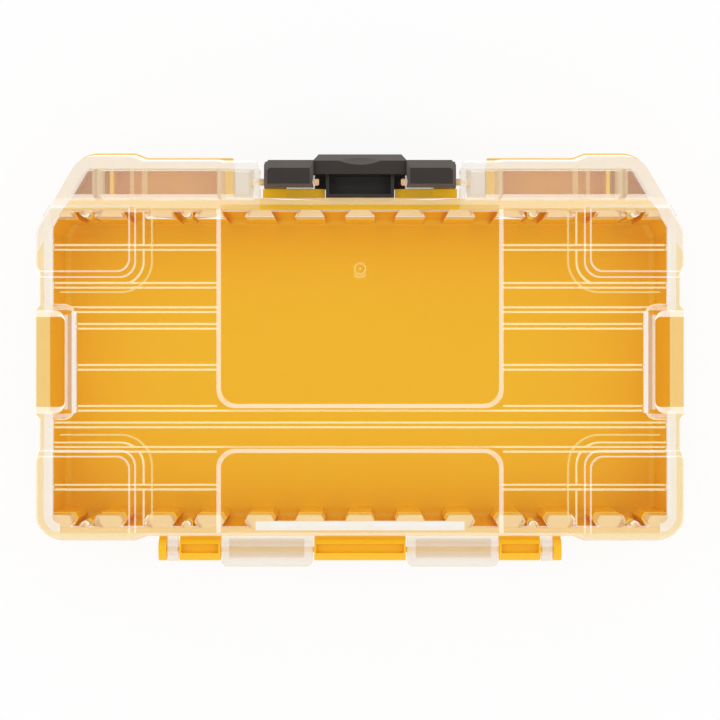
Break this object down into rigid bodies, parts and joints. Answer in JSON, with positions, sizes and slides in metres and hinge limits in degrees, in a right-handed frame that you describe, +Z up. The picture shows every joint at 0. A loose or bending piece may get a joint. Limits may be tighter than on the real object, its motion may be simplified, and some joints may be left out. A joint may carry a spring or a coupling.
{
  "type": "screwdriver bit case",
  "caption": "Flat rectangular bit case with an opaque tray, a clear ribbed lid hinged at the rear, corner bumpers, side grip notches and a lever latch at the front.",
  "frame": {"origin": "on the surface that the case rests on, under the middle of the compartment's rib pattern", "axes": "+X across the case to its right as seen from the latch, +Y from the latch towards the hinge, +Z up"},
  "size_m": [0.19, 0.1209, 0.041],
  "materials": {
    "tray_plastic": "opaque yellow moulded plastic, satin with a fine mould texture",
    "lid_plastic": "clear colourless moulded plastic, polished",
    "latch_plastic": "black moulded plastic, fine matt texture"
  },
  "bodies": {
    "tray": {"tray_base": "tray_plastic", "hinge_pin_left": "tray_plastic", "hinge_pin_right": "tray_plastic"},
    "lid": {"lid_shell": "lid_plastic", "latch_pin_left": "lid_plastic", "latch_pin_right": "lid_plastic"},
    "latch": {"latch_lever": "latch_plastic"}
  },
  "joints": [
    {"name": "lid_hinge", "type": "hinge", "parent": "tray", "child": "lid", "pos_m": [0, 0.0535, 0.026], "axis": [-1, 0, 0], "range_deg": [0, 110]},
    {"name": "latch_pivot", "type": "hinge", "parent": "lid", "child": "latch", "pos_m": [0, -0.0537, 0.0332], "axis": [-1, 0, 0], "range_deg": [0, 65]}
  ]
}
